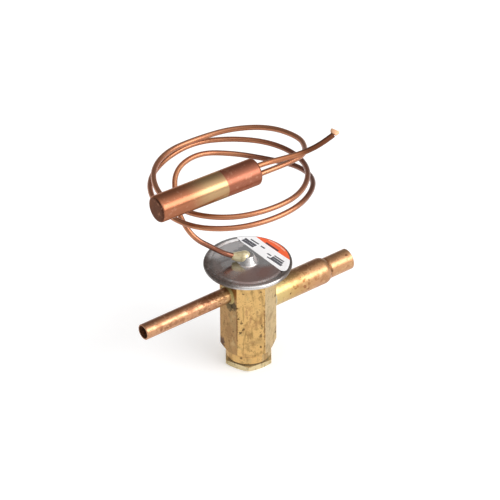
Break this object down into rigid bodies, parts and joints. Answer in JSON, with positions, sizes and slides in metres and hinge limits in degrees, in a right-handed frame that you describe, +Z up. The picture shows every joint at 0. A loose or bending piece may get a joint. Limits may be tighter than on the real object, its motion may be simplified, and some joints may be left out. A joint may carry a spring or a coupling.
{
  "type": "refrigerant expansion valve",
  "caption": "Refrigerant expansion valve: brass body with brazed copper tube stubs, diaphragm head, coiled capillary and remote sensing bulb.",
  "frame": {"origin": "centre of the bottom plug's underside, on the valve's axis", "axes": "+Z up along the valve axis towards the head, +X out of the outlet stub, -X out of the inlet stub"},
  "size_m": [0.1475, 0.0921, 0.1613],
  "materials": {
    "body_brass": "aged satin",
    "plug_brass": "aged satin",
    "seal_ring": "matt",
    "inner_brass": "machined",
    "spring_steel": "bright",
    "hard_steel": "ground",
    "head_steel": "bright stainless",
    "label": "printed sticker",
    "copper_tube": "drawn copper, lightly tarnished",
    "capillary_copper": "drawn copper",
    "bulb_copper": "copper, pickled",
    "braze": "silver braze",
    "strainer_mesh": "woven mesh"
  },
  "bodies": {
    "valve": {"valve_body": "body_brass", "bottom_plug": "plug_brass", "plug_seal_ring": "seal_ring", "spring_retainer": "inner_brass", "closing_spring": "spring_steel", "seat_insert": "hard_steel", "diaphragm": "spring_steel", "head_lower_shell": "head_steel", "head_upper_shell": "head_steel", "head_label": "label", "inlet_tube": "copper_tube", "inlet_braze": "braze", "inlet_strainer": "strainer_mesh", "outlet_tube": "copper_tube", "outlet_braze": "braze", "capillary_tube": "capillary_copper", "capillary_braze": "braze", "sensing_bulb": "bulb_copper", "bulb_end_cap": "bulb_copper", "bulb_braze": "braze", "charging_tube": "capillary_copper"},
    "pin_group": {"buffer_plate": "inner_brass", "push_rod_front": "hard_steel", "push_rod_back": "hard_steel", "pin_carrier": "inner_brass", "valve_pin": "hard_steel"}
  },
  "joints": [
    {"name": "pin_stroke", "type": "slide", "parent": "valve", "child": "pin_group", "axis": [0, 0, -1], "range_m": [0, 0.0008], "stiffness_N_per_m": 8000, "springref_m": -0.004, "deforming": ["closing_spring"]}
  ]
}
